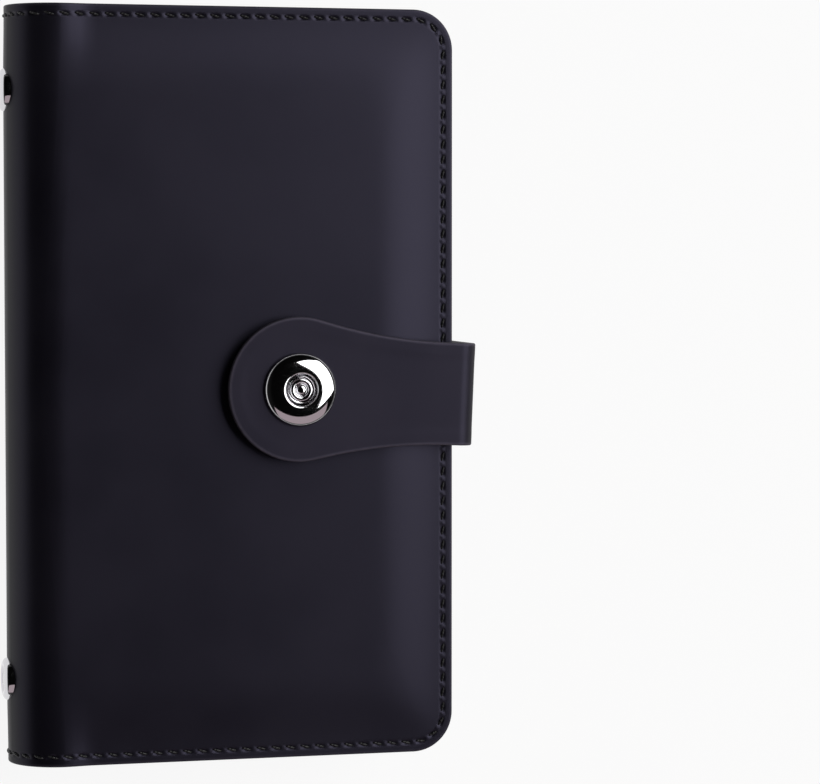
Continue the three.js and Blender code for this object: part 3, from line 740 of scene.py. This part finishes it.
def turned(name, profile, origin, along_spine, body, node, segments=AXIS_SEGMENTS):
    """A turned fitting: x = r cos t and y = r sin t about its axis, at height h of the profile."""
    turn = np.linspace(0, 2 * math.pi, segments + 1)[:-1]
    r, h = profile[:, 0][:, None], profile[:, 1][:, None] + 0 * turn
    a, b = r * np.cos(turn), r * np.sin(turn)
    points = np.stack([-h, a, b] if along_spine else [a, b, h], axis=-1) + np.array(origin)
    quads = rows_and_columns(len(profile), segments, True)
    if not (profile[0][0] == 0 and profile[-1][0] == 0):
        ends = np.arange(segments)
        last = (len(profile) - 1) * segments + ends
        quads = np.concatenate([quads, np.stack([last, np.roll(last, -1), np.roll(ends, -1), ends], axis=1)])
    flat = np.zeros(points.shape[:2])
    fitting = solid_object(name, points, quads, flat, flat, chrome, body)
    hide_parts(node)
    return fitting


SNAP_X = COVER_WIDTH - SNAP_REACH * math.cos(STRAP_SLANT)
SNAP_Y = STRAP_CENTRE_Y + SNAP_REACH * math.sin(STRAP_SLANT)
SNAP = (SNAP_X, SNAP_Y, 0.0)
CAP_Z = TAB_TOP + 0.1
CAP_DOME = 2.4
CAP_RADIUS = 9.0
CAP_LIP = 4.5
CAP_EDGE = 0.45  # height at which the shoulder begins
CAP_HOLE = 2.2

# Cap: a flat foot, a rolled edge, a shoulder that rises as a quarter ellipse to the lip, and a crater.
rise = np.linspace(0, math.pi / 2, 29)
shoulder = np.stack(
    [
        CAP_LIP + (CAP_RADIUS - CAP_LIP) * np.cos(rise),
        CAP_Z + CAP_EDGE + (CAP_DOME - CAP_EDGE) * np.sin(rise),
    ],
    axis=1,
)
crater = resample(
    [
        (CAP_LIP, CAP_Z + CAP_DOME),
        (4.05, CAP_Z + CAP_DOME - 0.08),
        (3.6, CAP_Z + 1.15),
        (3.35, CAP_Z + 0.84),
        (CAP_HOLE, CAP_Z + 0.72),
    ],
    [0, 0.45, 0.3, 0.2, 0],
)
foot = resample(
    [(CAP_HOLE, CAP_Z), (CAP_RADIUS - 0.25, CAP_Z), (CAP_RADIUS, CAP_Z + 0.2), tuple(shoulder[0])],
    [0, 0.15, 0.15, 0],
)
turned(
    "snap_cap_plated",
    np.concatenate([foot, shoulder[1:], crater[1:]]),
    SNAP,
    False,
    "strap_end",
    "snap_cap",
    segments=144,
)

# Rivet: a rolled rim about a pit, with a small dome in the middle of it.
RIVET_Z = CAP_Z + 1.04
RIM_HEIGHT = 0.75
RIM_RADIUS = 2.8
TUBE_RADIUS = 2.0
turned(
    "snap_cap_rivet_plated",
    resample(
        [
            (0, TAB_Z),
            (TUBE_RADIUS, TAB_Z),
            (TUBE_RADIUS, RIVET_Z),
            (RIM_RADIUS, RIVET_Z),
            (RIM_RADIUS, RIVET_Z + RIM_HEIGHT),
            (1.75, RIVET_Z + RIM_HEIGHT),
            (1.6, RIVET_Z + 0.15),
            (1.25, RIVET_Z + 0.15),
            (1.0, RIVET_Z + 0.66),
            (0.5, RIVET_Z + 0.74),
            (0, RIVET_Z + RIM_HEIGHT),
        ],
        [0, 0, 0, 0.2, 0.5, 0.45, 0.2, 0.2, 0.35, 0.2, 0],
    ),
    SNAP,
    False,
    "strap_end",
    "snap_cap_rivet",
)

# Socket: a flat ring under the tab, hollow for the stud.
SOCKET_TOP = TAB_Z - 0.1
SOCKET_RADIUS = 5.0
SOCKET_BORE = 2.3
SOCKET_HEIGHT = 1.3
turned(
    "snap_socket_plated",
    resample(
        [
            (SOCKET_BORE, SOCKET_TOP),
            (SOCKET_RADIUS, SOCKET_TOP),
            (SOCKET_RADIUS, SOCKET_TOP - SOCKET_HEIGHT),
            (2.9, SOCKET_TOP - SOCKET_HEIGHT),
            (SOCKET_BORE, SOCKET_TOP - 1.0),
        ],
        [0, 0.2, 0.5, 0.3, 0],
    ),
    SNAP,
    False,
    "strap_end",
    "snap_socket",
)

# Stud: a shank through the front leather, a flange on it and a waisted head.
STUD_Z = FRONT_Z + 0.1
STUD_FOOT = FRONT_Z - 2.1
STUD_SHANK = 1.3
STUD_FLANGE = 4.0
turned(
    "snap_stud_plated",
    resample(
        [
            (0, STUD_FOOT),
            (STUD_SHANK, STUD_FOOT),
            (STUD_SHANK, STUD_Z),
            (STUD_FLANGE, STUD_Z),
            (STUD_FLANGE, STUD_Z + 0.4),
            (3.4, STUD_Z + 0.5),
            (1.6, STUD_Z + 0.5),
            (1.9, STUD_Z + 1.15),
            (1.6, STUD_Z + 1.7),
            (0.8, STUD_Z + 1.8),
            (0, STUD_Z + 1.8),
        ],
        [0, 0, 0, 0.1, 0.2, 0.2, 0.15, 0.4, 0.3, 0.3, 0],
    ),
    SNAP,
    False,
    "front",
    "snap_stud",
)

# Spine rivets: a ring-shaped dome about a groove, with a round button in the middle.
SEAT = SPINE_RADIUS + 0.1
RIVET_DOME = 1.1
RIVET_SHANK = 1.75
SHANK_END = 6.97  # from the spine's axis, where the washer sits
SKIRT_FOOT = SEAT - 1.3  # the rim goes down past the curved skin at its sides
for end, y in (("top", RIVET_Y), ("bottom", -RIVET_Y)):
    turned(
        f"spine_rivet_{end}_plated",
        resample(
            [
                (0, SHANK_END),
                (RIVET_SHANK, SHANK_END),
                (RIVET_SHANK, SKIRT_FOOT),
                (RIVET_RADIUS, SKIRT_FOOT),
                (RIVET_RADIUS, SEAT + 0.1),
                (RIVET_RADIUS * 0.93, SEAT + RIVET_DOME * 0.6),
                (RIVET_RADIUS * 0.76, SEAT + RIVET_DOME),
                (RIVET_RADIUS * 0.6, SEAT + RIVET_DOME * 0.86),
                (RIVET_RADIUS * 0.5, SEAT + RIVET_DOME * 0.3),
                (RIVET_RADIUS * 0.38, SEAT + RIVET_DOME * 0.3),
                (RIVET_RADIUS * 0.3, SEAT + RIVET_DOME * 0.74),
                (RIVET_RADIUS * 0.14, SEAT + RIVET_DOME * 0.88),
                (0, SEAT + RIVET_DOME * 0.9),
            ],
            [0, 0, 0, 0, 0.5, 0.6, 0.7, 0.5, 0.3, 0.3, 0.4, 0.4, 0],
        ),
        (0.0, y, MIDDLE_Z),
        True,
        "spine",
        f"spine_rivet_{end}",
    )

# The pocket leaves: twenty-six leaves, gathered at the spine, each a welded pocket that bellies a little.
LEAVES = 26
LEAF_START = -6.66
LEAF_END = 86.6
LEAF_HALF = 86.5
LEAF_CORNER = 5.0
TONGUE_START = -7.9
TONGUE_HALF = 60.0
BLOCK_HALF = 9.0
BOUND_HALF = 4.2
OUTER_LEAF = 0.5  # how far the outermost leaf's middle lies inside the block's face
BOUND_LEAF = 0.14  # half a leaf's thickness at its bound edge
POCKET_LEAF = 0.1  # how much the pockets add to that
POCKET_SWELL = 0.06  # and how much more they swell in their middle


def leaf_path():
    """A leaf's outline: out from the tongue at the strip, up the bound edge, along the top and round
    the corner."""
    top, right, corner = LEAF_HALF, LEAF_END, LEAF_CORNER
    nick = 0.4
    tongue = np.array(
        [[TONGUE_START, TONGUE_HALF], [LEAF_START - nick, TONGUE_HALF], [LEAF_START, TONGUE_HALF + nick]]
    )
    bound = np.stack([np.full(7, LEAF_START), np.linspace(TONGUE_HALF + nick, top, 8)[1:]], axis=1)
    gathered = LEAF_START + 20
    x = np.concatenate(
        [np.linspace(LEAF_START, gathered, 13)[1:], np.linspace(gathered, right - corner, 7)[1:]]
    )
    turn = np.linspace(math.pi / 2, 0, 10)[1:]
    out = np.stack([np.cos(turn), np.sin(turn)], axis=1)
    bend = np.array([right - corner, top - corner]) + corner * out
    y = np.linspace(top - corner, 0, 9)[1:]
    path = np.concatenate(
        [tongue, bound, np.stack([x, x * 0 + top], axis=1), bend, np.stack([y * 0 + right, y], axis=1)]
    )
    inward = np.concatenate(
        [
            [[0.0, -1.0], [0.3, -0.9], [0.9, -0.3]],
            np.tile([1.0, 0.0], (6, 1)),
            [[1.0, -1.0]],
            np.tile([0.0, -1.0], (len(x), 1)),
            -out,
            np.tile([-1.0, 0.0], (len(y), 1)),
        ]
    )
    middle = np.concatenate(
        [
            TONGUE_START + np.linspace(0, 6, 10),
            TONGUE_START + 6 + (x - LEAF_START) * 0.8,
            np.linspace(69.5, right - 9, len(turn) + len(y)),
        ]
    )
    return mirrored(path), mirrored(inward), mirrored(np.stack([middle, middle * 0], axis=1))


def leaf_place(share):
    """The function that puts a leaf in the block, at a share from -1 at the back to 1 at the front."""

    def place(x, y, depth):
        """Leaf by leaf z = middle + share * H(x), where H widens smoothly from the bound edge to the
        pockets."""
        widened = smooth(LEAF_START - 5, LEAF_START + 15, x)
        spread = BOUND_HALF + (BLOCK_HALF - OUTER_LEAF - BOUND_HALF) * widened
        return np.stack([x, y, MIDDLE_Z + share * spread - depth], axis=-1)

    return place


def leaf_face(x, y, d):
    """Half the leaf's thickness, upwards: thin at the bound edge, thicker from there to the pockets,
    which swell over 1 to 8 mm from the weld. The rim is rounded by 0.08 mm."""
    pockets = POCKET_LEAF + POCKET_SWELL * smooth(1.0, 8.0, d)
    return -(BOUND_LEAF + pockets * smooth(-2, 12, x)) + rounding(d, 0.08)


def leaf_back(x, y, d):
    """The same, downwards."""
    return -leaf_face(x, y, d)


leaf_parts = [
    sheet_solid(
        *leaf_path(),
        np.array([0, 0.03, 0.08, 0.6, 1.6, 2.2]),
        np.linspace(0, 1, 6)[1:],
        leaf_face,
        leaf_back,
        leaf_place(share),
    )
    for share in np.linspace(-1, 1, LEAVES)
]
leaf_size = leaf_parts[0][0].reshape(-1, 3).shape[0]
page_leaves = solid_object(
    "page_leaves",
    np.concatenate([part[0].reshape(-1, 3) for part in leaf_parts]),
    np.concatenate([part[1] + i * leaf_size for i, part in enumerate(leaf_parts)]),
    np.concatenate([part[2].reshape(-1) for part in leaf_parts]),
    np.concatenate([part[3].reshape(-1) for part in leaf_parts]),
    film,
    "back",
)
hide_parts("pages")

# Pieces that stay as they are in the CAD model.
for name, material in (
    ("front_board", grey_board),
    ("back_board", grey_board),
    ("binding_strip", black_plastic),
    ("spine_washer_top", chrome),
    ("spine_washer_bottom", chrome),
    ("snap_stud_backing", chrome),
):
    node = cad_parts[name]
    node.data.materials.clear()
    node.data.materials.append(material)

# Floor, light and camera. The floor looks white to the camera and in mirrors, and lights the album as
# paint does.
FLOOR_GLOW = 0.9
FLOOR_SIZE = 6.0
floor_material, tree, output = new_material("studio_floor_white")
path_kind = add(tree, "ShaderNodeLightPath").outputs
seen = {0: path_kind["Is Camera Ray"], 1: path_kind["Is Glossy Ray"]}
seen = add(tree, "ShaderNodeMath", seen, operation="MAXIMUM").outputs[0]
seen = {0: seen, 1: path_kind["Is Transmission Ray"]}
seen = add(tree, "ShaderNodeMath", seen, operation="MAXIMUM").outputs[0]
share = add(tree, "ShaderNodeMath", {0: seen, 1: FLOOR_GLOW}, operation="MULTIPLY").outputs[0]
paint = add(tree, "ShaderNodeBsdfDiffuse", {"Color": linear("#f4f4f4")}).outputs[0]
glow = add(tree, "ShaderNodeEmission", {"Color": (1.0, 1.0, 1.0, 1.0), "Strength": 1.0}).outputs[0]
surface = add(tree, "ShaderNodeMixShader", {0: share, 1: paint, 2: glow}).outputs[0]
tree.links.new(surface, output.inputs[0])
bpy.ops.mesh.primitive_plane_add(size=FLOOR_SIZE, location=(0, 0, 0))
floor = bpy.context.object
floor.name = "studio_floor"
floor.data.materials.append(floor_material)

world = bpy.data.worlds.new("studio_room")
bpy.context.scene.world = world
world.use_nodes = True
tree = world.node_tree
tree.nodes.clear()
direction = add(tree, "ShaderNodeTexCoord").outputs["Generated"]
height = add(tree, "ShaderNodeSeparateXYZ", {0: direction}).outputs[2]
# A wall up to about 12 degrees, pale on the left and dim elsewhere, and a dim room above it.
climb = {0: height, 1: 0.14, 2: 0.3, 3: 1.0, 4: 0.02}
wall = add(tree, "ShaderNodeMapRange", climb, interpolation_type="SMOOTHSTEP").outputs[0]
to_left = {0: direction, 1: (-0.9, -0.2, 0.0)}
side = add(tree, "ShaderNodeVectorMath", to_left, operation="DOT_PRODUCT").outputs["Value"]
left = add(tree, "ShaderNodeMapRange", {0: side, 1: 0.45, 2: 0.9, 3: 0.1, 4: 0.6}).outputs[0]
path_kind = add(tree, "ShaderNodeLightPath").outputs
seen = {0: path_kind["Is Camera Ray"], 1: path_kind["Is Transmission Ray"]}
seen = add(tree, "ShaderNodeMath", seen, operation="MAXIMUM").outputs[0]
lit = add(tree, "ShaderNodeMath", {0: wall, 1: left}, operation="MULTIPLY").outputs[0]
level = add(tree, "ShaderNodeMath", {0: lit, 1: seen}, operation="MAXIMUM").outputs[0]
background = add(tree, "ShaderNodeBackground", {"Color": (1.0, 1.0, 1.0, 1.0), "Strength": level}).outputs[0]
tree.links.new(background, add(tree, "ShaderNodeOutputWorld").inputs[0])


def soft_light(name, place, target, width, height, power):
    """A rectangular lamp in metres and watts, whose face is turned to its target."""
    lamp = bpy.data.lights.new(name, "AREA")
    lamp.shape = "RECTANGLE"
    lamp.size, lamp.size_y, lamp.energy = width, height, power
    thing = bpy.data.objects.new(name, lamp)
    bpy.context.scene.collection.objects.link(thing)
    thing.location = place
    away = thing.location - Vector(target)
    thing.rotation_euler = away.to_track_quat("Z", "Y").to_euler()
    return thing


key_light = soft_light(
    "soft_box_right", place=(1.05, 0.4, 1.25), target=(0.02, 0.0, 0.03), width=1.5, height=1.5, power=25.0
)
card = soft_light(
    "card_below", place=(0.2, -1.05, 0.85), target=(0.0, 0.0, 0.03), width=2.3, height=1.1, power=4.4
)
card.data.color = linear("#e6d3d9")[:3]

# The camera, fitted to the album's outline in the photograph: its place in metres and its turns in degrees.
CAMERA_PLACE = (-0.15556, 0.0361, 0.7769)
CAMERA_TURNS = (("Y", -14.74), ("X", -2.83), ("Z", -0.01))
SENSOR_WIDTH = 36.0
FOCAL_LENGTH = 137.15
camera_data = bpy.data.cameras.new("photo_camera")
camera_data.sensor_width = SENSOR_WIDTH
camera_data.lens = FOCAL_LENGTH
camera = bpy.data.objects.new("photo_camera", camera_data)
bpy.context.scene.collection.objects.link(camera)
stand = Matrix.Translation(CAMERA_PLACE)
for axis, degrees in CAMERA_TURNS:
    stand = stand @ Matrix.Rotation(math.radians(degrees), 4, axis)
camera.matrix_world = stand
bpy.context.scene.camera = camera
bpy.context.scene.view_settings.view_transform = "Standard"
